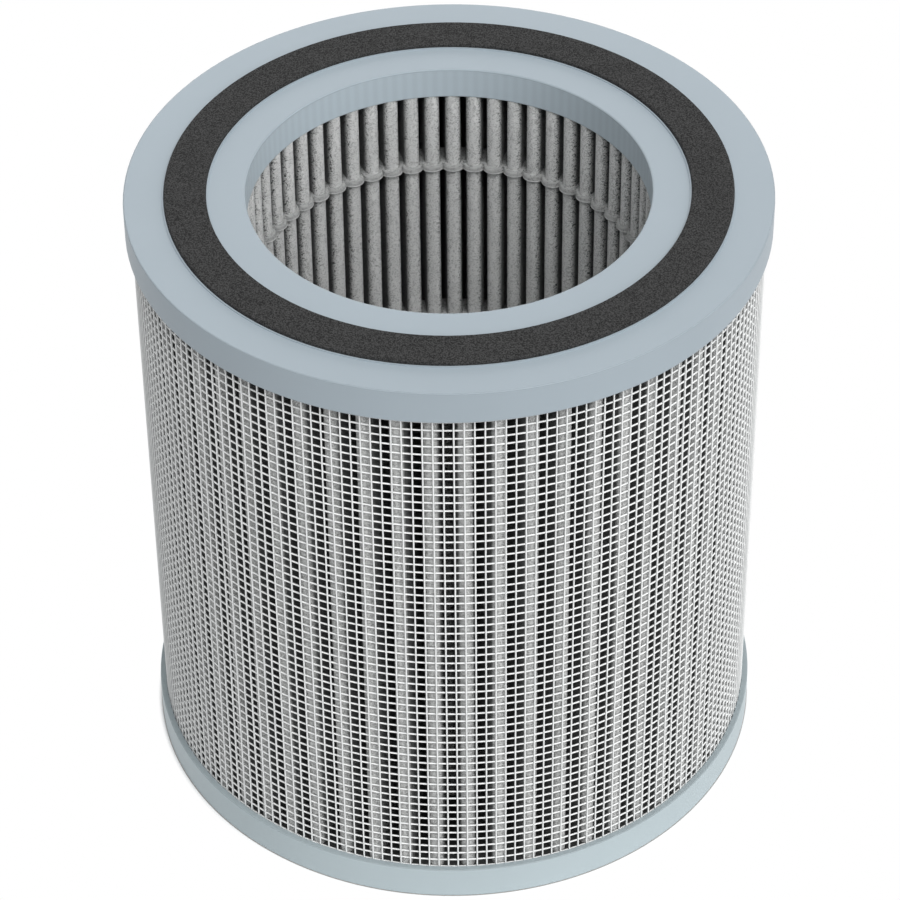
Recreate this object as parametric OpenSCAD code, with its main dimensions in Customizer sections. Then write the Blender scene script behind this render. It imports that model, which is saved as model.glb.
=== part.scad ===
// Cylindrical pleated air filter cartridge, standing on its closed end cap.
// Air passes inwards through the net and the pleats and leaves through the opening in the top cap.
// The origin is at the centre of the base, with +Z up. All sizes are in millimetres.

/* [Cartridge] */
// Outer diameter of both end caps
cap_d = 160; // [150:1:190]
// Height from the base to the flat face of the top cap
body_h = 168.5; // [150:0.5:220]
// Diameter of the outlet opening in the top cap
outlet_d = 100; // [84:1:108]

/* [End caps] */
// Thickness of the end plates
plate_t = 2; // [1.6:0.1:3]
// Wall of the outer skirts
skirt_t = 1.5; // [1.2:0.1:2.5]
// Wall of the inner collar of each cap
collar_t = 1; // [0.8:0.1:2]
// Depth of the adhesive bed in each cap, which ends level with the edge of the collar
potting_t = 6.5; // [4:0.1:10]
// How far the top cap's skirt reaches past its bed
top_skirt_reach = 0.3; // [0.2:0.1:4]
// How far the bottom cap's skirt reaches past its bed
bottom_skirt_reach = 0.9; // [0.2:0.1:4]
// How far the closing disc of the bottom cap is set in from the base
disc_recess = 2; // [1.5:0.1:3]
// Radius between the closing disc and the collar, on the side of the base
disc_fillet = 1.5; // [0.5:0.1:2]
// Rounding of the outer rims
rim_r = 0.3; // [0.2:0.05:1]
// Rounding of the outlet's mouth
mouth_r = 0.4; // [0.2:0.1:1.5]
// Rounding of the free edges of skirts and collars
lip_r = 0.3; // [0.1:0.05:0.35]

/* [Gasket] */
// Outer diameter of the foam ring
gasket_d = 140; // [134:1:144]
// Width of the foam ring
gasket_w = 10.3; // [6:0.1:12]
// Thickness of the foam ring
gasket_t = 1.5; // [1.2:0.1:3]
// Rounding of the foam ring's upper edges
gasket_r = 0.3; // [0.1:0.05:0.5]
// Height of the raised seat above the cap's face
seat_h = 0.3; // [0.1:0.1:1]
// Depth of the groove that holds the foam ring
groove_h = 0.7; // [0.5:0.1:1.1]
// Width of the seat's lip on each side of the groove
seat_lip = 0.4; // [0.3:0.05:0.8]
// Clearance between the foam ring and the groove's walls
gasket_play = 0.1; // [0.05:0.05:0.2]

/* [Pleated media] */
// Number of pleats
pleats = 60; // [48:1:64]
// Thickness of the folded sheet
media_t = 0.8; // [0.5:0.05:1]
// Width over one inner fold
inner_fold_w = 3.9; // [2.8:0.1:4.2]
// Width over one outer fold
outer_fold_w = 3.7; // [3.2:0.1:5.8]
// Flat steps in the half round of each fold
fold_steps = 4; // [4:2:10]
// How far the tips of the inner folds lie behind the wall of the outlet
fold_inset = 0.1; // [0:0.05:0.5]
// Clearance between the outer folds and the net
fold_play = 0.05; // [0.05:0.05:0.3]
// Direction of the first outer fold, in degrees
pleat_phase = 2.3; // [0:0.1:6]
// How far each inner fold lies off the middle between two outer folds, in degrees
fold_lean = 0.6; // [0:0.1:0.8]

/* [Glue beads] */
// Height of one bead
bead_h = 2.2; // [1.4:0.1:4]
// Drop from the top cap's face to the middle of the upper bead
bead_drop = 30.7; // [20:0.1:40]
// Distance between two beads
bead_pitch = 50.5; // [40:0.5:55]
// How far a bead stands in from the tips of the inner folds
bead_proud = 1; // [0.5:0.1:1.4]
// How far the cusps between two scallops lie behind the tips
bead_cusp = 0.6; // [0.2:0.1:0.9]
// How far a bead fills the gap between two pleats, along the flanks
bead_fill = 5; // [2:0.5:8]
// Flat steps in one scallop
bead_steps = 4; // [3:1:8]

/* [Outer net] */
// Number of upright strands
strands = 200; // [150:10:200]
// Width of a strand
strand_w = 0.45; // [0.3:0.05:0.6]
// Height of the lowest ring strand above the adhesive bed
ring_foot = 0.41; // [0.35:0.01:0.65]
// Height between two ring strands
ring_pitch = 2.49; // [2.49:0.01:4]
// How far an upright strand stands out from the web
strand_rise = 0.2; // [0.15:0.05:0.5]
// How far a ring strand stands in from the web
ring_rise = 0.15; // [0.1:0.05:0.4]
// Thickness of the web that joins the two strands of a pair
web_t = 0.25; // [0.25:0.05:0.5]
// How deep uprights and rings are welded into each other
weld_t = 0.1; // [0.1:0.05:0.2]
// Cells across one window of the net
window_cells = 9; // [9:1:14]
// Direction of the first upright strand, in degrees
strand_phase = 0.35; // [0:0.05:1.8]
// Clearance between the net and the skirts
net_play = 0.05; // [0.05:0.05:0.3]

/* [Hidden] */
$fn = 96;
arc_steps = 4;

cap_r = cap_d / 2;
outlet_r = outlet_d / 2;
collar_r = outlet_r + collar_t;
channel_r = cap_r - skirt_t;

gasket_ro = gasket_d / 2;
gasket_ri = gasket_ro - gasket_w;
groove_ro = gasket_ro + gasket_play;
groove_ri = gasket_ri - gasket_play;
seat_top = body_h + seat_h;
groove_z = seat_top - groove_h;

// The pleats and the net stand between the two adhesive beds and the edges of the collars
collar_h = plate_t + potting_t;
top_skirt_h = collar_h + top_skirt_reach;
bottom_skirt_h = collar_h + bottom_skirt_reach;
pack_foot = collar_h;
pack_top = body_h - collar_h;
pack_h = pack_top - pack_foot;

// The layers of the net, from its outside in: uprights, weld and rings
net_r = channel_r - net_play;
upright_web_r = net_r - strand_rise;
ring_ro = upright_web_r - (web_t - weld_t);
weld_r = ring_ro - weld_t;
web_ri = ring_ro - web_t;
ring_ri = web_ri - ring_rise;
function ring_z(k) = pack_foot + ring_foot + k * ring_pitch;

inner_tip = outlet_r + fold_inset;
outer_tip = ring_ri - fold_play;
pleat_step = 360 / pleats;
inner_shoulder = inner_tip + inner_fold_w / 2;
outer_shoulder = outer_tip - outer_fold_w / 2;

bead_crest = inner_tip - bead_proud;
cusp_r = inner_tip + bead_cusp;

function polar(r, a) = [r * cos(a), r * sin(a)];
// A point given along the direction a and across it
function local(a, along, across) =
    [along * cos(a) - across * sin(a), along * sin(a) + across * cos(a)];
// Points of an arc about (x, y), from angle a to angle b
function arc(x, y, r, a, b) =
    [for (i = [0:arc_steps]) [x, y] + polar(r, a + (b - a) * i / arc_steps)];
function join(lists) = [for (list = lists, p = list) p];

// One fold across the direction a, a half round as wide as the fold.
// way is 1 where the tip points outwards and -1 where it points to the axis.
function fold(a, tip, way, width) = [
    for (i = [0:fold_steps])
        let (f = 180 * i / fold_steps - 90, r = width / 2)
        local(a, tip - way * r * (1 - cos(f)), r * sin(f))
];
function outer_a(i) = pleat_phase + pleat_step * i;
function inner_a(i) = outer_a(i + 0.5) - fold_lean;

// The two faces of the sheet: one turned to the outlet core, one to the net
function core_fold(i) = fold(inner_a(i), inner_tip, -1, inner_fold_w);
core_face = join([for (i = [0:pleats - 1]) concat(
    fold(outer_a(i), outer_tip - media_t, 1, outer_fold_w - 2 * media_t),
    core_fold(i)
)]);
net_face = join([for (i = [0:pleats - 1]) concat(
    fold(outer_a(i), outer_tip, 1, outer_fold_w),
    fold(inner_a(i), inner_tip + media_t, -1, inner_fold_w - 2 * media_t)
)]);

// Where the filling of a gap ends on the flank beside inner fold i, on either side of it
function flank_point(i, side) =
    let (
        a = inner_a(i),
        from = local(a, inner_shoulder, side * inner_fold_w / 2),
        to = local(outer_a(i + 0.5 + side / 2), outer_shoulder, -side * (outer_fold_w / 2 - media_t))
    )
    from + (to - from) * bead_fill / norm(to - from);

// One scallop of a bead: an arc through two cusps and a crest in front of fold i
cusp_half = cusp_r * sin(pleat_step / 2);
scallop_rise = cusp_r * cos(pleat_step / 2) - bead_crest;
scallop_r = (cusp_half * cusp_half + scallop_rise * scallop_rise) / (2 * scallop_rise);
scallop_half = asin(cusp_half / scallop_r);
function scallop(i) = [
    for (s = [0:bead_steps - 1])
        let (f = scallop_half * (2 * s / bead_steps - 1))
        local(inner_a(i), bead_crest + scallop_r * (1 - cos(f)), scallop_r * sin(f))
];

module ring(ri, ro, z0, z1) {
    translate([0, 0, z0]) rotate_extrude() translate([ri, 0]) square([ro - ri, z1 - z0]);
}

// An outline with one hole, pulled up from z by h
module holed(outline, hole, z, h) {
    count = len(outline);
    translate([0, 0, z]) linear_extrude(height = h)
        polygon(
            concat(outline, hole),
            [[for (i = [0:count - 1]) i], [for (i = [0:len(hole) - 1]) count + i]]
        );
}

module top_cap() {
    skirt_z = body_h - top_skirt_h;
    collar_z = body_h - collar_h;
    color("#b0bcc4") rotate_extrude() polygon(concat(
        arc(outlet_r + mouth_r, body_h - mouth_r, mouth_r, 180, 90),
        [
            [groove_ri - seat_lip, body_h], [groove_ri - seat_lip, seat_top], [groove_ri, seat_top],
            [groove_ri, groove_z], [groove_ro, groove_z],
            [groove_ro, seat_top], [groove_ro + seat_lip, seat_top], [groove_ro + seat_lip, body_h]
        ],
        arc(cap_r - rim_r, body_h - rim_r, rim_r, 90, 0),
        arc(cap_r - lip_r, skirt_z + lip_r, lip_r, 0, -90),
        [[channel_r, skirt_z], [channel_r, body_h - plate_t], [collar_r, body_h - plate_t]],
        [[collar_r, collar_z]],
        arc(outlet_r + lip_r, collar_z + lip_r, lip_r, 270, 180)
    ));
}

module bottom_cap() {
    disc_top = disc_recess + plate_t;
    color("#b6c2c6") rotate_extrude() polygon(concat(
        [[0, disc_recess], [0, disc_top], [outlet_r, disc_top]],
        arc(outlet_r + lip_r, collar_h - lip_r, lip_r, 180, 90),
        [[collar_r, collar_h], [collar_r, plate_t], [channel_r, plate_t], [channel_r, bottom_skirt_h]],
        arc(cap_r - lip_r, bottom_skirt_h - lip_r, lip_r, 90, 0),
        arc(cap_r - rim_r, rim_r, rim_r, 0, -90),
        [[outlet_r, 0]],
        arc(outlet_r - disc_fillet, disc_recess - disc_fillet, disc_fillet, 0, 90)
    ));
}

module gasket() {
    top = groove_z + gasket_t;
    color("#3e3e3e") rotate_extrude() polygon(concat(
        [[gasket_ri, groove_z]],
        arc(gasket_ri + gasket_r, top - gasket_r, gasket_r, 180, 90),
        arc(gasket_ro - gasket_r, top - gasket_r, gasket_r, 90, 0),
        [[gasket_ro, groove_z]]
    ));
}

module pleated_media() {
    color("#a9a9a7") holed(net_face, core_face, pack_foot, pack_h);
}

// A square lattice of strand pairs, welded where they cross: the rings lie behind the uprights.
// The strands of a pair are one cell of the net apart, and a window spans about window_cells cells.
module outer_net() {
    strand_step = 360 / strands;
    cells = window_cells + 1;
    columns = floor(strands / cells);
    last_pair = floor((pack_top - strand_w / 2 - ring_z(1)) / ring_pitch);
    rows = max(1, round(last_pair / cells));
    pair_w = 2 * web_ri * sin(strand_step / 2) + strand_w;
    color("#e4e5e3") {
        for (row = [0:rows]) ring_pair(ring_z(round(row * last_pair / rows)));
        for (column = [0:columns - 1])
            rotate([0, 0, strand_phase + strand_step * (column * cells + 0.5)])
                translate([0, 0, pack_foot]) linear_extrude(height = pack_h) polygon([
                    [weld_r, -pair_w / 2], [net_r, -pair_w / 2], [net_r, strand_w - pair_w / 2],
                    [upright_web_r, strand_w - pair_w / 2], [upright_web_r, pair_w / 2 - strand_w],
                    [net_r, pair_w / 2 - strand_w], [net_r, pair_w / 2], [weld_r, pair_w / 2]
                ]);
    }
}

// Two ring strands with the web between them. z is the middle of the lower strand.
module ring_pair(z) {
    low = z - strand_w / 2;
    high = low + ring_pitch;
    rotate_extrude() polygon([
        [ring_ri, low], [ring_ro, low], [ring_ro, high + strand_w], [ring_ri, high + strand_w],
        [ring_ri, high], [web_ri, high], [web_ri, low + strand_w], [ring_ri, low + strand_w]
    ]);
}

module top_potting() {
    color("#d8d6cc") ring(collar_r, channel_r, pack_top, body_h - plate_t);
}

module bottom_potting() {
    color("#d8d6cc") ring(collar_r, channel_r, plate_t, pack_foot);
}

// A bead of hot melt laid across the inner folds: scalloped in front, seated on the sheet behind.
// level counts the beads down from the top.
module glue_bead(level) {
    back = join([for (i = [0:pleats - 1]) concat(
        [flank_point(i, -1)], core_fold(i), [flank_point(i, 1)]
    )]);
    front = join([for (i = [0:pleats - 1]) scallop(i)]);
    color("#c9c9c4") holed(back, front, body_h - bead_drop - level * bead_pitch - bead_h / 2, bead_h);
}

module upper_bead() { glue_bead(0); }
module middle_bead() { glue_bead(1); }
module lower_bead() { glue_bead(2); }

top_cap();
bottom_cap();
gasket();
pleated_media();
outer_net();
top_potting();
bottom_potting();
upper_bead();
middle_bead();
lower_bead();
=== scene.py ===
import math

import bpy
import numpy as np
from mathutils import Matrix


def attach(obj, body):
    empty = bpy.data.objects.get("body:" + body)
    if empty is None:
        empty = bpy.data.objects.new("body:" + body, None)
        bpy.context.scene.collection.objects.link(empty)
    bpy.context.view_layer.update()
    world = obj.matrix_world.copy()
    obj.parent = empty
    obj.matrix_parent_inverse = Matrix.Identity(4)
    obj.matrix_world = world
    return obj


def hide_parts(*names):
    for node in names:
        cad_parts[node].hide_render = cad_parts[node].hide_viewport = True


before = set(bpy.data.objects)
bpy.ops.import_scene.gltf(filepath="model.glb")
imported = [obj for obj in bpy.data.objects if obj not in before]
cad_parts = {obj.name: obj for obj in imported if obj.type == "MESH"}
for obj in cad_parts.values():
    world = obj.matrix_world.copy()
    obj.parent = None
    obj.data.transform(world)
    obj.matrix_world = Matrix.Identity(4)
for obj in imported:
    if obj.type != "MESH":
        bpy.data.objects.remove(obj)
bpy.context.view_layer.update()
mm = 0.001
print("frame loaded:", len(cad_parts), "nodes")


def axesMatrix(x, y, z, origin=(0, 0, 0)):
    # An object's own axes and its origin are the columns of its matrix
    turn = np.eye(4)
    turn[:3, :3] = np.stack([x, y, z], -1)
    turn[:3, 3] = origin
    return Matrix(turn.tolist())


# The camera stands in front of the cartridge and looks down on it

view = {
    "place": (0.0, -0.74556, 0.72118),  # metres
    "lens": 150.75,  # mm
    "sensor": 36.0,  # mm
    "clip": (0.01, 50.0),  # metres
    "pitch": 40.553,  # degrees
    "yaw": -0.035,
    "roll": 0.652,
}


def buildCamera():
    # forward = (sin yaw cos pitch, cos yaw cos pitch, -sin pitch); right and down are then rolled about it
    pitch, yaw, roll = (math.radians(view[k]) for k in ("pitch", "yaw", "roll"))
    forward = np.array([math.sin(yaw) * math.cos(pitch), math.cos(yaw) * math.cos(pitch), -math.sin(pitch)])
    right = np.array([math.cos(yaw), -math.sin(yaw), 0.0])
    down = np.cross(forward, right)
    lens = bpy.data.cameras.new("photoCamera")
    lens.lens = view["lens"]
    lens.sensor_width = view["sensor"]
    lens.sensor_fit = "HORIZONTAL"
    lens.clip_start, lens.clip_end = view["clip"]
    camera = bpy.data.objects.new("photoCamera", lens)
    bpy.context.scene.collection.objects.link(camera)
    camera.matrix_world = axesMatrix(math.cos(roll) * right + math.sin(roll) * down,
                                     math.sin(roll) * right - math.cos(roll) * down, -forward, view["place"])
    bpy.context.scene.camera = camera


buildCamera()
bpy.context.scene.view_settings.view_transform = "Standard"
print("camera placed")


# Node helpers

def newMaterial(name):
    material = bpy.data.materials.new(name)
    material.use_nodes = True
    tree = material.node_tree
    tree.nodes.clear()
    out = tree.nodes.new("ShaderNodeOutputMaterial")
    shader = tree.nodes.new("ShaderNodeBsdfPrincipled")
    tree.links.new(shader.outputs["BSDF"], out.inputs["Surface"])
    return material, tree, shader


socketKinds = {"vector": "NodeSocketVector", "value": "NodeSocketFloat", "colour": "NodeSocketColor"}


def newGroup(name, inputs, outputs):
    # inputs are (label, kind, default or None), outputs are (label, kind)
    group = bpy.data.node_groups.new(name, "ShaderNodeTree")
    for label, kind, value in inputs:
        socket = group.interface.new_socket(label, in_out="INPUT", socket_type=socketKinds[kind])
        if value is not None:
            socket.default_value = value
    for label, kind in outputs:
        group.interface.new_socket(label, in_out="OUTPUT", socket_type=socketKinds[kind])
    return group, group.nodes.new("NodeGroupInput").outputs, group.nodes.new("NodeGroupOutput").inputs


def feed(tree, value, socket):
    # A socket takes either another node's output or a plain value
    if isinstance(value, bpy.types.NodeSocket):
        tree.links.new(value, socket)
    else:
        socket.default_value = value


def maths(tree, kind, a, b=None):
    node = tree.nodes.new("ShaderNodeMath")
    node.operation = kind
    feed(tree, a, node.inputs[0])
    if b is not None:
        feed(tree, b, node.inputs[1])
    return node.outputs[0]


def times(tree, a, b):
    return maths(tree, "MULTIPLY", a, b)


def vectorMaths(tree, kind, a, b=None):
    node = tree.nodes.new("ShaderNodeVectorMath")
    node.operation = kind
    feed(tree, a, node.inputs[0])
    if b is not None:
        feed(tree, b, node.inputs[1])
    return node.outputs["Value" if kind == "LENGTH" else "Vector"]


def ramp(tree, value, low, high, start=0.0, end=1.0):
    # start at low and end at high, with a smooth step between
    node = tree.nodes.new("ShaderNodeMapRange")
    node.interpolation_type = "SMOOTHSTEP"
    feed(tree, value, node.inputs["Value"])
    for label, number in (("From Min", low), ("From Max", high), ("To Min", start), ("To Max", end)):
        feed(tree, number, node.inputs[label])
    return node.outputs["Result"]


def noise(tree, vector, scale, detail=2.0, roughness=0.5, distortion=0.0):
    node = tree.nodes.new("ShaderNodeTexNoise")
    feed(tree, vector, node.inputs["Vector"])
    feed(tree, scale, node.inputs["Scale"])
    node.inputs["Detail"].default_value = detail
    node.inputs["Roughness"].default_value = roughness
    node.inputs["Distortion"].default_value = distortion
    return node.outputs["Fac"]


def mixColour(tree, fac, a, b):
    node = tree.nodes.new("ShaderNodeMix")
    node.data_type = "RGBA"
    feed(tree, fac, node.inputs[0])
    feed(tree, a, node.inputs[6])
    feed(tree, b, node.inputs[7])
    return node.outputs[2]


def place(tree, group, **values):
    node = tree.nodes.new("ShaderNodeGroup")
    node.node_tree = group
    for label, value in values.items():
        feed(tree, value, node.inputs[label])
    return node.outputs


def bump(tree, height, distance, strength, shader):
    # distance is in mm
    node = tree.nodes.new("ShaderNodeBump")
    node.inputs["Distance"].default_value = distance * mm
    node.inputs["Strength"].default_value = strength
    tree.links.new(height, node.inputs["Height"])
    tree.links.new(node.outputs["Normal"], shader.inputs["Normal"])


def setPlain(shader, values):
    # Values that are the same all over a surface stand on the shader's own sockets
    for label, value in values.items():
        shader.inputs[label].default_value = value


def objectPlace(tree):
    return tree.nodes.new("ShaderNodeTexCoord").outputs["Object"]


def fromAxis(tree, vector):
    # The distance from the cartridge's axis
    return vectorMaths(tree, "LENGTH", vectorMaths(tree, "MULTIPLY", vector, (1.0, 1.0, 0.0)))


def heightOf(tree, vector):
    node = tree.nodes.new("ShaderNodeSeparateXYZ")
    tree.links.new(vector, node.inputs[0])
    return node.outputs["Z"]


# Effects that several finishes share

noiseSpan = (0.3, 0.7)  # the usual values of a noise, stretched to 0 and 1

fibre = {
    "aside": (0.37, 0.11, 0.53),  # metres to another place in the noise
    "bend": (0.5, 0.5, 0.6),  # detail, roughness and distortion of the noise that draws the strokes
    "line": (0.015, 0.07),  # a stroke fades out between these distances from the noise's middle value
    "bar": 0.62,  # strokes stay where the second noise is over the bar, which the amount lowers
    "barDrop": 0.3,
    "barSoft": 0.07,
    "patchScale": 1.15,  # the scales of the other noises, in strokes
    "fuzzScale": 2.4,
    "cloudScale": 0.12,
    "fuzzTone": 0.10,  # how far the fuzz and the clouds darken the felt
    "cloudTone": 0.05,
    "fuzzHeight": 0.35,
}


def buildFibreGroup():
    # Short bent strokes: lines where a bent noise crosses its middle value, kept only where a second noise is
    # high. Shade is painted shade: 0 on the faces and 1 deep in a gap, where it makes the strokes darker.
    group, given, result = newGroup(
        "feltFibres",
        [("Vector", "vector", None), ("Stroke", "value", 1500.0), ("Amount", "value", 0.5),
         ("Shade", "value", 0.0), ("Ink", "value", 0.5),
         ("Pale", "colour", (0.5, 0.5, 0.5, 1)), ("Dark", "colour", (0.1, 0.1, 0.1, 1))],
        [("Color", "colour"), ("Height", "value")],
    )
    vector, stroke = given["Vector"], given["Stroke"]
    aside = vectorMaths(group, "ADD", vector, fibre["aside"])
    bent = noise(group, vector, stroke, *fibre["bend"])
    offMiddle = maths(group, "ABSOLUTE", maths(group, "SUBTRACT", bent, 0.5))
    line = ramp(group, offMiddle, *fibre["line"], 1.0, 0.0)
    patch = noise(group, aside, times(group, stroke, fibre["patchScale"]), 0.0, 0.5)
    bar = maths(group, "SUBTRACT", fibre["bar"], times(group, given["Amount"], fibre["barDrop"]))
    kept = ramp(group, patch, bar, maths(group, "ADD", bar, fibre["barSoft"]))
    speck = times(group, line, kept)
    fuzz = noise(group, aside, times(group, stroke, fibre["fuzzScale"]), 2.0, 0.6)
    cloud = noise(group, vector, times(group, stroke, fibre["cloudScale"]), 2.0, 0.5)
    strength = maths(group, "MINIMUM", maths(group, "ADD", given["Ink"], given["Shade"]), 1.0)
    tone = mixColour(group, times(group, speck, strength), given["Pale"], given["Dark"])
    dim = maths(group, "ADD", times(group, ramp(group, fuzz, *noiseSpan), fibre["fuzzTone"]),
                times(group, ramp(group, cloud, *noiseSpan), fibre["cloudTone"]))
    group.links.new(mixColour(group, dim, tone, given["Dark"]), result["Color"])
    height = maths(group, "SUBTRACT", times(group, fuzz, fibre["fuzzHeight"]), speck)
    group.links.new(height, result["Height"])
    return group


folds = {
    # mm from the axis
    "flankFrom": (50.25, 52.5),  # painted shade on a flank comes up between these
    "flankTo": (76.1, 77.3),  # and goes down again between these
    "strokesFrom": (50.1, 51.4),  # painted shade makes the strokes darker between these
    "netSide": (60.0, 70.0),  # the core side turns into the net side between these
    "strokesOnFace": 0.03,
    "strokesInGap": 0.8,
}


def buildFoldGroup():
    # Masks for painted shade. Flank is 1 on the flanks between the inner and the outer folds. Shade is the same
    # for the strokes, on the core side alone. NetSide is 1 on the outer half, under the net.
    group, given, result = newGroup("foldDepth", [("Vector", "vector", None)],
                                    [("Flank", "value"), ("Shade", "value"), ("NetSide", "value")])
    reach = fromAxis(group, given["Vector"])

    def between(span, start=0.0, end=1.0):
        return ramp(group, reach, span[0] * mm, span[1] * mm, start, end)

    flank = times(group, between(folds["flankFrom"]), between(folds["flankTo"], 1.0, 0.0))
    shade = times(group, between(folds["strokesFrom"], folds["strokesOnFace"], folds["strokesInGap"]),
                  between(folds["netSide"], 1.0, 0.0))
    group.links.new(flank, result["Flank"])
    group.links.new(shade, result["Shade"])
    group.links.new(between(folds["netSide"]), result["NetSide"])
    return group


mould = {
    "cloudScale": 0.02,  # in grains
    "fineShare": 0.6,  # of the grain beside the clouds
    "dark": (0.02, 0.025, 0.03, 1),
    "glossSpread": 0.12,
    "bump": (0.02, 0.35),  # mm, strength
}


def buildMouldGroup():
    # Moulded plastic: slow clouds in the tone, a fine grain in the tone, the gloss and the height
    group, given, result = newGroup(
        "mouldedGrain",
        [("Vector", "vector", None), ("Grain", "value", 2500.0), ("Mottle", "value", 0.03),
         ("Tone", "colour", (0.5, 0.5, 0.5, 1)), ("Gloss", "value", 0.45)],
        [("Color", "colour"), ("Roughness", "value"), ("Height", "value")],
    )
    vector, grain = given["Vector"], given["Grain"]
    slow = noise(group, vector, times(group, grain, mould["cloudScale"]), 3.0, 0.55)
    fine = noise(group, vector, grain, 2.0, 0.6)
    uneven = maths(group, "ADD", ramp(group, slow, *noiseSpan), times(group, fine, mould["fineShare"]))
    tone = mixColour(group, times(group, uneven, given["Mottle"]), given["Tone"], mould["dark"])
    group.links.new(tone, result["Color"])
    offMiddle = times(group, maths(group, "SUBTRACT", fine, 0.5), mould["glossSpread"])
    group.links.new(maths(group, "ADD", given["Gloss"], offMiddle), result["Roughness"])
    group.links.new(fine, result["Height"])
    return group


def buildZoneGroup():
    # A zone takes on a tint of painted light or shade. It lies outside a radius and above a height, and its
    # borders fade in from Near to
    # Far and from Low to High. Where Near is over Far it lies inside, and where Low is over High, below.
    group, given, result = newGroup(
        "paintedLightShadeZone",
        [("Vector", "vector", None), ("Color", "colour", (0.5, 0.5, 0.5, 1)),
         ("Near", "value", 0.0), ("Far", "value", 1.0), ("Low", "value", 0.0), ("High", "value", 1.0),
         ("Depth", "value", 0.0), ("Tint", "colour", (0.5, 0.5, 0.5, 1))],
        [("Color", "colour")],
    )
    across = ramp(group, fromAxis(group, given["Vector"]), given["Near"], given["Far"])
    upward = ramp(group, heightOf(group, given["Vector"]), given["Low"], given["High"])
    zone = times(group, across, upward)
    mixed = mixColour(group, times(group, zone, given["Depth"]), given["Color"], given["Tint"])
    group.links.new(mixed, result["Color"])
    return group


cell = {
    "speckScale": 0.7,  # the scales of the noises, in cells
    "cloudScale": 0.05,
    "speckSpan": (0.36, 0.66),
    "cloudTone": 0.08,
}


def buildFoamGroup():
    # Closed cells: pits of a cell pattern over a coarser cloud
    group, given, result = newGroup(
        "foamCells",
        [("Vector", "vector", None), ("Cells", "value", 3800.0),
         ("Pale", "colour", (0.1, 0.1, 0.1, 1)), ("Dark", "colour", (0.02, 0.02, 0.02, 1))],
        [("Color", "colour"), ("Height", "value")],
    )
    vector, cells = given["Vector"], given["Cells"]
    pits = group.nodes.new("ShaderNodeTexVoronoi")
    group.links.new(vector, pits.inputs["Vector"])
    group.links.new(cells, pits.inputs["Scale"])
    speck = noise(group, vector, times(group, cells, cell["speckScale"]), 3.0, 0.65)
    cloud = noise(group, vector, times(group, cells, cell["cloudScale"]), 2.0, 0.5)
    pale = maths(group, "ADD", ramp(group, speck, *cell["speckSpan"]),
                 times(group, ramp(group, cloud, *noiseSpan), cell["cloudTone"]))
    group.links.new(mixColour(group, pale, given["Dark"], given["Pale"]), result["Color"])
    group.links.new(maths(group, "ADD", pits.outputs["Distance"], speck), result["Height"])
    return group


feltFibres = buildFibreGroup()
foldDepth = buildFoldGroup()
mouldedGrain = buildMouldGroup()
paintedLightShadeZone = buildZoneGroup()
foamCells = buildFoamGroup()
print("shared effects built")


# Finishes of plastic and glue. A zone has two radii and two heights in mm, a depth and a tint, and paints light
# or shade.

# shadeTint is painted shade. paler is painted light, and on the net it is the plastic's own white
shadeTint = (0.02, 0.022, 0.024, 1)
paler = (0.965, 0.975, 0.97, 1)
everyHeight = (0.0, 1.0)  # the net and the beds begin above 1 mm

capPlastic = {
    "tone": (0.386, 0.449, 0.495, 1),
    "gloss": 0.45,
    "specular": 0.33,
    "mottle": 0.02,
    "stripes": {
        "count": 120,
        "depth": 0.06,
        "tone": (0.505, 0.588, 0.642, 1),
        "dark": (0.1, 0.12, 0.16, 1),
        "zone": (50.3, 50.1, 168.15, 167.9),  # painted light on the collar's inner wall, which carries the stripes
    },
    "zones": (
        (79.6, 79.72, 168.05, 168.2, 0.12, shadeTint),  # painted shade on the rounding of the rim
        (50.55, 50.4, 168.05, 168.2, 0.06, shadeTint),  # painted shade on the rounding of the outlet's mouth
        (52.0, 51.5, 160.3, 160.0, 0.45, paler),  # painted highlight on the collar's lower edge
    ),
}
basePlastic = {
    "tone": (0.508, 0.592, 0.623, 1),
    "gloss": 0.43,
    "specular": 0.33,
    "mottle": 0.02,
    "zones": ((78.3, 78.4, 9.1, 9.25, 0.34, shadeTint),),  # painted shade on the ledge round the net's foot
}
netPlastic = {
    "tone": (0.55, 0.56, 0.56, 1),  # painted shade on the flanks of the strands
    "gloss": 0.6,
    "specular": 0.0,
    "mottle": 0.02,
    "zones": (
        (78.28, 78.38, *everyHeight, 1.0, paler),  # the plastic's white on the crowns of the uprights
        (78.2, 78.17, *everyHeight, 1.0, paler),  # the plastic's white on the rings
        (78.05, 77.85, *everyHeight, 0.4, shadeTint),  # painted shade on the rings' inner half
    ),
}
bedGlue = {
    "tone": (0.66, 0.65, 0.60, 1),
    "gloss": 0.5,
    "specular": 0.5,
    "mottle": 0.06,
    "zones": ((51.5, 52.5, *everyHeight, 0.95, shadeTint),),  # painted shade deep in the gaps between the folds
}


def tintZone(tree, vector, colour, zone, depth, tint):
    near, far, low, high = (number * mm for number in zone)
    return place(tree, paintedLightShadeZone, Vector=vector, Color=colour, Near=near, Far=far, Low=low, High=high,
                 Depth=depth, Tint=tint)["Color"]


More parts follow.
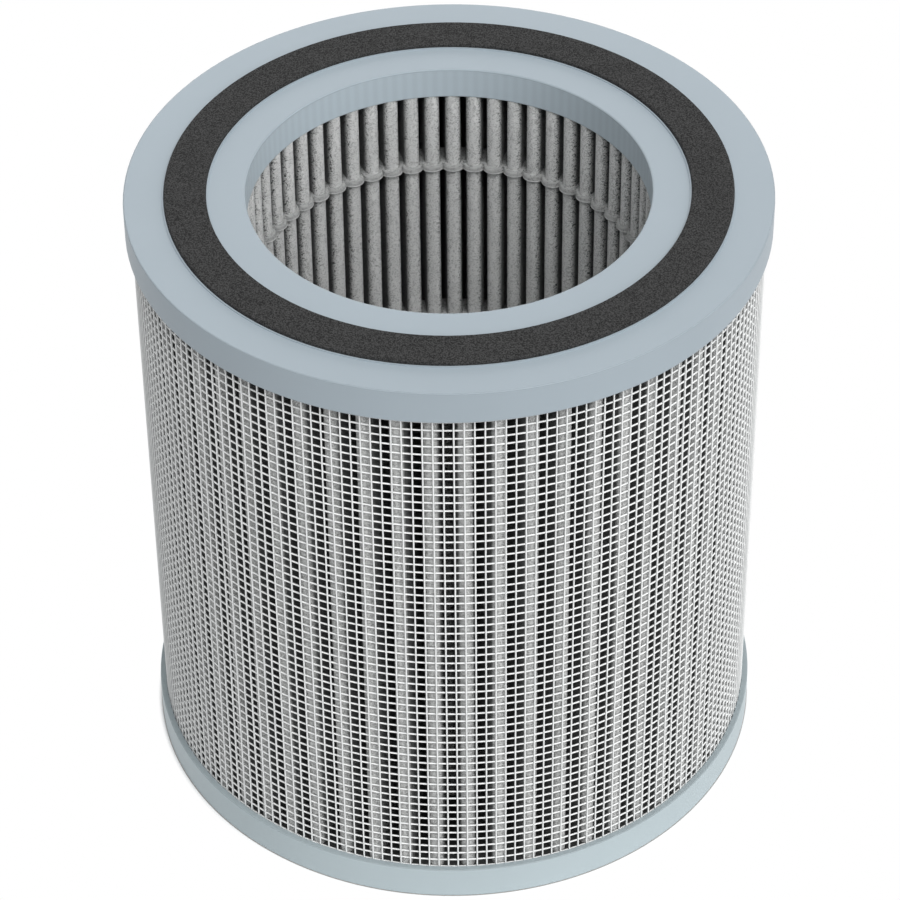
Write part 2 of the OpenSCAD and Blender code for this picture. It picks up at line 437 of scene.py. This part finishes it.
def plasticMaterial(name, look):
    # Moulded grain, zones of painted light and shade, and on a wall made paler by painted light, upright
    # stripes of depth (0.5 + 0.5 sin(count angle))
    material, tree, shader = newMaterial(name)
    vector = objectPlace(tree)
    grain = place(tree, mouldedGrain, Vector=vector, Tone=look["tone"], Gloss=look["gloss"],
                  Mottle=look["mottle"])
    colour = grain["Color"]
    if "stripes" in look:
        stripes = look["stripes"]
        turn = tree.nodes.new("ShaderNodeTexGradient")
        turn.gradient_type = "RADIAL"
        tree.links.new(vector, turn.inputs["Vector"])
        wave = maths(tree, "SINE", times(tree, turn.outputs["Fac"], 2 * math.pi * stripes["count"]))
        stripe = ramp(tree, wave, -1.0, 1.0, 0.0, stripes["depth"])
        # painted light: the collar's inner wall is paler than the cap around it
        wall = mixColour(tree, stripe, stripes["tone"], stripes["dark"])
        colour = tintZone(tree, vector, colour, stripes["zone"], 1.0, wall)
    for *zone, depth, tint in look["zones"]:
        colour = tintZone(tree, vector, colour, zone, depth, tint)
    tree.links.new(colour, shader.inputs["Base Color"])
    tree.links.new(grain["Roughness"], shader.inputs["Roughness"])
    setPlain(shader, {"Specular IOR Level": look["specular"]})
    bump(tree, grain["Height"], *mould["bump"], shader)
    return material


# Finishes of felt, and of hot melt that the felt shows through

felt = {
    "pale": (0.82, 0.825, 0.815, 1),
    "dark": (0.05, 0.055, 0.055, 1),
    "amount": 0.95,  # of strokes
    "stroke": 1500.0,  # strokes per metre
    "ink": 0.27,
    "flankShade": 0.9,
    "netSide": 0.2,  # painted shade: how much darker the sheet is under the net
    "bump": 0.2,  # mm
}
hotMelt = {
    # the hot melt's tone, partly its own and partly painted shade against the light on the beads' upward faces
    "pale": (0.40, 0.405, 0.40, 1),
    "dark": (0.05, 0.055, 0.055, 1),
    "amount": 0.9,
    "stroke": 1600.0,
    "ink": 0.36,
    "flankShade": 0.5,
    "netSide": 0.0,
    "bump": 0.1,
    # A bead's lower edge carries a painted highlight, paler with fainter strokes, up to the second of these
    # heights in mm above its foot
    "edge": {"foot": 35.6, "pitch": 50.5, "span": (0.35, 0.6), "amount": 0.5, "tone": (0.8, 0.8, 0.8, 1)},
}
feltSurface = {"Roughness": 0.9, "Specular IOR Level": 0.25, "Sheen Weight": 0.15, "Sheen Roughness": 0.5}


def feltMaterial(name, look):
    # The flanks between the inner and the outer folds lie deep in the gaps. Painted shade makes them darker,
    # with stronger strokes, and makes the sheet under the net darker too.
    material, tree, shader = newMaterial(name)
    vector = objectPlace(tree)
    depth = place(tree, foldDepth, Vector=vector)
    fibres = place(tree, feltFibres, Vector=vector, Stroke=look["stroke"], Amount=look["amount"],
                   Ink=look["ink"], Shade=depth["Shade"], Pale=look["pale"], Dark=look["dark"])
    dark = maths(tree, "MAXIMUM", times(tree, depth["Flank"], look["flankShade"]),
                 times(tree, depth["NetSide"], look["netSide"]))
    colour = mixColour(tree, dark, fibres["Color"], look["dark"])
    if "edge" in look:
        # The height above a bead's foot repeats from bead to bead, and a painted highlight runs along each
        # bead's lower rim
        edge = look["edge"]
        above = maths(tree, "SUBTRACT", heightOf(tree, vector), edge["foot"] * mm)
        above = maths(tree, "MODULO", above, edge["pitch"] * mm)
        low, high = edge["span"]
        rimLight = ramp(tree, above, low * mm, high * mm, edge["amount"], 0.0)
        colour = mixColour(tree, rimLight, colour, edge["tone"])
    tree.links.new(colour, shader.inputs["Base Color"])
    setPlain(shader, feltSurface)
    bump(tree, fibres["Height"], look["bump"], 1.0, shader)
    return material


# Finish of the gasket

foam = {
    "pale": (0.067, 0.067, 0.067, 1),
    "dark": (0.008, 0.008, 0.008, 1),
    "cells": 4200.0,  # per metre
    "bump": (0.06, 0.6),  # mm, strength
}
foamSurface = {"Roughness": 0.92, "Specular IOR Level": 0.2}


def foamMaterial(name, look):
    material, tree, shader = newMaterial(name)
    cells = place(tree, foamCells, Vector=objectPlace(tree), Cells=look["cells"], Pale=look["pale"],
                  Dark=look["dark"])
    tree.links.new(cells["Color"], shader.inputs["Base Color"])
    setPlain(shader, foamSurface)
    bump(tree, cells["Height"], *look["bump"], shader)
    return material


capFinish = plasticMaterial("paleCapPlastic", capPlastic)
baseFinish = plasticMaterial("paleBasePlastic", basePlastic)
netFinish = plasticMaterial("whiteNetPlastic", netPlastic)
glueFinish = plasticMaterial("bedAdhesive", bedGlue)
feltFinish = feltMaterial("speckledFelt", felt)
beadFinish = feltMaterial("hotMeltOnFelt", hotMelt)
foamFinish = foamMaterial("darkFoam", foam)
print("materials built")


# Mesh helpers

def signedVolume(points, quads):
    # Sum over the quads' two triangles of a . (b x c) / 6
    a, b, c, d = (points[quads[:, i]] for i in range(4))
    return float((np.cross(b, c) * a).sum() + (np.cross(c, d) * a).sum()) / 6


def facingOut(points, quads):
    return quads[:, ::-1] if signedVolume(points, quads) < 0 else quads


def gridQuads(rows, columns, wrapRows, wrapColumns):
    # Quad (r, c) joins the points (r, c), (r, c+1), (r+1, c+1), (r+1, c), round the end where a side wraps
    r = np.arange(rows if wrapRows else rows - 1)[:, None]
    c = np.arange(columns if wrapColumns else columns - 1)[None, :]
    r2, c2 = (r + 1) % rows, (c + 1) % columns
    corners = [r * columns + c, r * columns + c2, r2 * columns + c2, r2 * columns + c]
    return np.stack(corners, -1).reshape(-1, 4)


def copiedQuads(quads, copies, size):
    # The same quads for each copy of a shape of that many points
    return (quads[None] + (np.arange(copies) * size)[:, None, None]).reshape(-1, 4)


def newPiece(name, points, quads, finish, sharp):
    # points in metres; edges over the sharp angle, in degrees, stay sharp
    quads = facingOut(points, quads)
    mesh = bpy.data.meshes.new(name)
    mesh.vertices.add(len(points))
    mesh.vertices.foreach_set("co", points.astype(np.float32).ravel())
    mesh.loops.add(quads.size)
    mesh.loops.foreach_set("vertex_index", quads.astype(np.int32).ravel())
    mesh.polygons.add(len(quads))
    mesh.polygons.foreach_set("loop_start", np.arange(0, quads.size, 4, dtype=np.int32))
    mesh.update(calc_edges=True)
    mesh.validate()
    mesh.shade_smooth()
    mesh.set_sharp_from_angle(angle=math.radians(sharp))
    mesh.materials.append(finish)
    piece = bpy.data.objects.new(name, mesh)
    bpy.context.scene.collection.objects.link(piece)
    return piece


def atDirection(along, across, degrees):
    # (along, across) measured on the ray at that angle, turned into x and y
    a = np.radians(degrees)
    return np.stack([along * np.cos(a) - across * np.sin(a), along * np.sin(a) + across * np.cos(a)], -1)


def allRound(line, degrees):
    # The line's points at each of the angles, one angle after the other
    return atDirection(line[None, :, 0], line[None, :, 1], degrees[:, None]).reshape(-1, 2)


# The folded sheet, in millimetres

sheet = {
    "pleats": 60,
    "phase": 2.3,  # degrees
    "lean": 0.6,  # degrees that an inner fold lies off the middle between two outer folds
    "thickness": 0.8,
    "foot": 8.5,
    "top": 160.0,
    "innerTip": 50.1,  # from the axis
    "innerWidth": 3.9,
    "outerTip": 77.65,
    "outerWidth": 3.7,
    "foldSteps": 16,
    "longRun": 1.0,
    "support": 0.12,  # a run over longRun gets a point this far from each end, which keeps its shading flat
    "sharp": 40,
}


def foldOutline(tip, way, width):
    # A half round as wide as the fold, as (along, across)
    f = np.linspace(-np.pi / 2, np.pi / 2, sheet["foldSteps"] + 1)
    return np.stack([tip - way * width / 2 * (1 - np.cos(f)), width / 2 * np.sin(f)], -1)


def sheetFace(wall):
    # wall is 0 on the core side and the sheet's thickness on the net side
    step = 360 / sheet["pleats"]
    inset = sheet["thickness"] - wall
    outer = foldOutline(sheet["outerTip"] - inset, 1, sheet["outerWidth"] - 2 * inset)
    inner = foldOutline(sheet["innerTip"] + wall, -1, sheet["innerWidth"] - 2 * wall)
    one = np.concatenate([
        atDirection(outer[:, 0], outer[:, 1], sheet["phase"]),
        atDirection(inner[:, 0], inner[:, 1], sheet["phase"] + step / 2 - sheet["lean"]),
    ])
    following = atDirection(outer[:1, 0], outer[:1, 1], sheet["phase"] + step)
    run = np.concatenate([one[1:], following]) - one
    length = np.linalg.norm(run, axis=-1)
    support = sheet["support"] / length
    isLong = length > sheet["longRun"]
    share = np.stack([np.zeros_like(length), support, 1 - support], -1)
    keep = np.stack([np.ones_like(isLong), isLong, isLong], -1)
    one = (one[:, None, :] + run[:, None, :] * share[:, :, None])[keep]
    return allRound(one, step * np.arange(sheet["pleats"]))


def buildSheet():
    # Four closed outlines, foot and top of each face, joined round the section
    core, outside = sheetFace(0.0), sheetFace(sheet["thickness"])
    foot, top = sheet["foot"], sheet["top"]
    rows = [(core, foot), (core, top), (outside, top), (outside, foot)]
    points = np.stack([np.concatenate([xy, np.full((len(xy), 1), z)], -1) for xy, z in rows])
    quads = gridQuads(len(rows), len(core), True, True)
    piece = newPiece("foldedSheet", points.reshape(-1, 3) * mm, quads, feltFinish, sheet["sharp"])
    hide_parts("pleated_media")
    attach(piece, "root")


buildSheet()
print("folded sheet built")


# The glue beads, in millimetres

bead = {
    "heights": {"upper_bead": 137.8, "middle_bead": 87.3, "lower_bead": 36.8},
    "crest": 49.1,  # from the axis
    "cusp": 50.7,
    "fill": 5.0,  # along each flank
    "columns": 21,  # points round an inner fold
    "tipShare": 0.96,  # of a scallop's half width, for the points in front of the fold
    "cuspShares": (0.985, 0.995),  # and for the two in front of each flank
    "flankShare": 0.25,  # of the fill, for the first point on a flank
    "flankSides": (1.5, 2.0),  # how far aside the points on a flank count, in half folds
    "blendFrom": 0.55,  # in half folds aside, where the section over the tip starts to give way
    "blendOver": 0.75,
    "sharp": 60,
    # (share, height): from the sheet (share 0) out to the scallop (share 1) and back over the top
    "overTip": ((0, -1.1), (0.6, -1.1), (0.9, -1.08), (0.98, -1.04), (1, -0.96), (0.99, -0.86), (0.93, -0.78),
                (0.90, -0.6), (0.82, -0.2), (0.66, 0.08), (0.44, 0.24), (0.2, 0.33), (0, 0.38)),
    "inGap": ((0, -1.1), (0.7, -1.1), (0.97, -1.08), (0.99, -1.04), (1, -0.96), (0.999, -0.86), (0.997, -0.78),
              (0.995, -0.4), (0.992, 0.2), (0.98, 0.6), (0.94, 0.86), (0.7, 1.0), (0, 1.1)),
}


def beadOutlines():
    # Back: the inner fold's own surface, then the fill along each flank. Front: a scallop through two cusps
    # and a crest, along = crest + R - sqrt(R^2 - across^2)
    step = 360 / sheet["pleats"]
    tip, half = sheet["innerTip"], sheet["innerWidth"] / 2
    turn = np.linspace(-np.pi / 2, np.pi / 2, bead["columns"])
    along, across = tip + half * (1 - np.cos(turn)), half * np.sin(turn)
    cuspHalf = bead["cusp"] * math.sin(math.radians(step / 2))
    rise = bead["cusp"] * math.cos(math.radians(step / 2)) - bead["crest"]
    radius = (cuspHalf ** 2 + rise ** 2) / (2 * rise)
    flankIn = np.array([tip + half, half])
    outerHalf = sheet["outerWidth"] / 2 - sheet["thickness"]
    outerAlong = sheet["outerTip"] - sheet["outerWidth"] / 2
    flanks = []
    for side in (-1, 1):
        start = flankIn * (1, side)
        outward = side * step / 2 + sheet["lean"]
        flankOut = atDirection(np.array([outerAlong]), np.array([-side * outerHalf]), outward)[0]
        end = start + (flankOut - start) * bead["fill"] / np.linalg.norm(flankOut - start)
        flanks.append([end, start + (end - start) * bead["flankShare"]])
    back = np.concatenate([flanks[0], np.stack([along, across], -1), flanks[1][::-1]])
    near, last = bead["cuspShares"]
    spread = np.concatenate([[-last, -near], across / half * bead["tipShare"], [near, last]]) * cuspHalf
    front = np.stack([bead["crest"] + radius - np.sqrt(radius ** 2 - spread ** 2), spread], -1)
    near, last = bead["flankSides"]
    aside = np.abs(np.concatenate([[last, near], across / half, [near, last]]))
    angles = sheet["phase"] + step * (np.arange(sheet["pleats"]) + 0.5) - sheet["lean"]
    return allRound(back, angles), allRound(front, angles), np.tile(aside, sheet["pleats"])


def buildBeads():
    # Point = back + (front - back) share, with the section blended by a smooth step from tip to gap
    overTip, inGap = np.array(bead["overTip"]), np.array(bead["inGap"])
    back, front, aside = beadOutlines()
    weight = np.clip((aside - bead["blendFrom"]) / bead["blendOver"], 0, 1)
    weight = (weight * weight * (3 - 2 * weight))[None, :, None]
    section = overTip[:, None, :] * (1 - weight) + inGap[:, None, :] * weight
    share, lift = section[..., 0:1], section[..., 1]
    xy = back[None] + (front - back)[None] * share
    quads = gridQuads(len(overTip), len(back), True, True)
    for node, height in bead["heights"].items():
        points = np.concatenate([xy, (height + lift)[..., None]], -1)
        piece = newPiece("hotMelt_" + node, points.reshape(-1, 3) * mm, quads, beadFinish, bead["sharp"])
        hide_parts(node)
        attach(piece, "root")


buildBeads()
print("glue beads built")


# The net sleeve, in millimetres

net = {
    "uprights": 200,
    "phase": 0.35,  # degrees
    "uprightRadius": 78.2,  # from the axis to the middle of an upright
    "uprightDepth": 0.28,  # half of its section, outwards
    "halfWidth": 0.225,
    "rings": 61,
    "ringRadius": 77.93,
    "ringDepth": 0.25,
    "ringHalf": 0.21,
    "ringFoot": 0.41,  # from the net's foot to its first ring
    "ringPitch": 2.49,
    "ringSteps": 200,
    "foot": 8.5,
    "top": 160.0,
    "sides": 6,  # of a strand's section
    "sharp": 70,
}


def ringPoints(v):
    # radius = R + depth cos v, height = z + half sin v, for each ring and each step round it
    u = np.radians(net["phase"] + 360 / net["uprights"] * np.arange(net["ringSteps"]))
    z = net["foot"] + net["ringFoot"] + net["ringPitch"] * np.arange(net["rings"])
    radius = (net["ringRadius"] + net["ringDepth"] * np.cos(v))[None, None, :]
    height = (z[:, None] + net["ringHalf"] * np.sin(v)[None, :])[:, None, :]
    shape = (len(z), len(u), len(v))
    return np.stack([
        np.broadcast_to(radius * np.cos(u)[None, :, None], shape),
        np.broadcast_to(radius * np.sin(u)[None, :, None], shape),
        np.broadcast_to(height, shape),
    ], -1).reshape(-1, 3)


def uprightPoints(v):
    # along = R + depth cos v, across = half sin v, at the foot and at the top of each upright
    along = net["uprightRadius"] + net["uprightDepth"] * np.cos(v)
    across = net["halfWidth"] * np.sin(v)
    angles = net["phase"] + 360 / net["uprights"] * np.arange(net["uprights"])
    xy = atDirection(along[None, :], across[None, :], angles[:, None])
    ends = np.array([net["foot"], net["top"]])
    shape = (net["uprights"], 2, len(v))
    return np.concatenate([
        np.broadcast_to(xy[:, None], shape + (2,)), np.broadcast_to(ends[None, :, None, None], shape + (1,))
    ], -1).reshape(-1, 3)


def buildNet():
    sides = net["sides"]
    v = np.radians(360 / sides * (np.arange(sides) + 0.5))
    rings, uprights = ringPoints(v), uprightPoints(v)
    oneRing = gridQuads(net["ringSteps"], sides, True, True)
    # An upright's two ends are closed with two quads each
    oneUpright = np.concatenate([
        gridQuads(2, sides, False, True), [[3, 2, 1, 0], [5, 4, 3, 0], [6, 7, 8, 9], [6, 9, 10, 11]]
    ])
    ringQuads = facingOut(rings, copiedQuads(oneRing, net["rings"], net["ringSteps"] * sides))
    uprightQuads = facingOut(uprights, copiedQuads(oneUpright, net["uprights"], 2 * sides))
    points = np.concatenate([rings, uprights])
    quads = np.concatenate([ringQuads, uprightQuads + len(rings)])
    piece = newPiece("netSleeve", points * mm, quads, netFinish, net["sharp"])
    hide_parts("outer_net")
    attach(piece, "root")


buildNet()
print("net built")


# Pieces whose solids stay as they are, with a finish of their own

for node, finish in (("top_cap", capFinish), ("bottom_cap", baseFinish), ("gasket", foamFinish),
                     ("top_potting", glueFinish), ("bottom_potting", glueFinish)):
    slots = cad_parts[node].data.materials
    slots.clear()
    slots.append(finish)
print("finishes given to the moulded caps, the gasket and the adhesive beds")


# Floor, surroundings and lamps

light = {
    "skyColour": (0.97, 0.985, 1.0, 1.0),
    "skyStrength": 0.35,
    "lamps": {
        # the way to each lamp as a compass angle and a height in degrees, its strength and its width in degrees
        "topKey": (300.0, 55.0, 1.64, 35.0),
        "sideKey": (315.0, 20.0, 0.68, 35.0),
        "topFill": (250.0, 60.0, 0.43, 35.0),
        "leftFill": (215.0, 8.0, 0.12, 35.0),
        "rightRim": (5.0, 6.0, 0.3, 35.0),
        "backFill": (90.0, 8.0, 0.9, 35.0),
    },
    "floorSize": 8.0,  # metres
    "floorColour": (0.55, 0.55, 0.55, 1.0),
    "paintedContactShadow": (0.42, 0.39, 0.37, 1.0),
    # mm from the axis: the painted contact shadow fades out to the second, the object's rendered shadow to the
    # third
    "shadowReach": (80.0, 80.3, 81.3),
}
plainWhite = (1, 1, 1, 1)


def whiteToCamera(tree, surface, white):
    # The camera, mirrors and glass see plain white, everything else sees the lit surface
    rays = tree.nodes.new("ShaderNodeLightPath").outputs
    mirrored = maths(tree, "MAXIMUM", rays["Is Glossy Ray"], rays["Is Transmission Ray"])
    mix = tree.nodes.new("ShaderNodeMixShader")
    tree.links.new(maths(tree, "MAXIMUM", rays["Is Camera Ray"], mirrored), mix.inputs["Fac"])
    tree.links.new(surface, mix.inputs[1])
    tree.links.new(white, mix.inputs[2])
    return mix.outputs["Shader"]


def buildFloor():
    half = light["floorSize"] / 2
    corners = [(-half, -half, 0), (half, -half, 0), (half, half, 0), (-half, half, 0)]
    mesh = bpy.data.meshes.new("studioFloor")
    mesh.from_pydata(corners, [], [(0, 1, 2, 3)])
    floor = bpy.data.objects.new("studioFloor", mesh)
    bpy.context.scene.collection.objects.link(floor)
    material = bpy.data.materials.new("paleFloor")
    material.use_nodes = True
    tree = material.node_tree
    tree.nodes.clear()
    out = tree.nodes.new("ShaderNodeOutputMaterial")
    matt = tree.nodes.new("ShaderNodeBsdfDiffuse")
    matt.inputs["Color"].default_value = light["floorColour"]
    # The camera sees the object's shadow close to the object, with a painted contact shadow at its foot, and
    # plain white past it
    catcher = tree.nodes.new("ShaderNodeBsdfDiffuse")
    white = tree.nodes.new("ShaderNodeEmission")
    reach = fromAxis(tree, objectPlace(tree))
    near, line, far = (number * mm for number in light["shadowReach"])
    shadow = mixColour(tree, ramp(tree, reach, near, line), light["paintedContactShadow"], plainWhite)
    tree.links.new(shadow, catcher.inputs["Color"])
    ground = tree.nodes.new("ShaderNodeMixShader")
    tree.links.new(ramp(tree, reach, near, far), ground.inputs["Fac"])
    tree.links.new(catcher.outputs["BSDF"], ground.inputs[1])
    tree.links.new(white.outputs["Emission"], ground.inputs[2])
    shown = whiteToCamera(tree, matt.outputs["BSDF"], ground.outputs["Shader"])
    tree.links.new(shown, out.inputs["Surface"])
    mesh.materials.append(material)


def buildSky():
    world = bpy.data.worlds.new("softStudio")
    bpy.context.scene.world = world
    world.use_nodes = True
    tree = world.node_tree
    tree.nodes.clear()
    out = tree.nodes.new("ShaderNodeOutputWorld")
    sky = tree.nodes.new("ShaderNodeBackground")
    sky.inputs["Color"].default_value = light["skyColour"]
    sky.inputs["Strength"].default_value = light["skyStrength"]
    white = tree.nodes.new("ShaderNodeBackground")
    white.inputs["Color"].default_value = plainWhite
    shown = whiteToCamera(tree, sky.outputs["Background"], white.outputs["Background"])
    tree.links.new(shown, out.inputs["Surface"])


def buildLamp(name, compass, height, strength, width):
    lamp = bpy.data.lights.new(name, "SUN")
    lamp.energy = strength
    lamp.angle = math.radians(width)
    sun = bpy.data.objects.new(name, lamp)
    bpy.context.scene.collection.objects.link(sun)
    # A sun shines along its own -Z, so its +Z is turned to the way to the lamp
    a, h = math.radians(compass), math.radians(height)
    z = np.array([math.cos(a) * math.cos(h), math.sin(a) * math.cos(h), math.sin(h)])
    x = np.cross((0, 0, 1), z)
    x /= np.linalg.norm(x)
    sun.matrix_world = axesMatrix(x, np.cross(z, x), z)


buildFloor()
buildSky()
for name, lamp in light["lamps"].items():
    buildLamp(name, *lamp)
print("floor, sky and lamps placed")
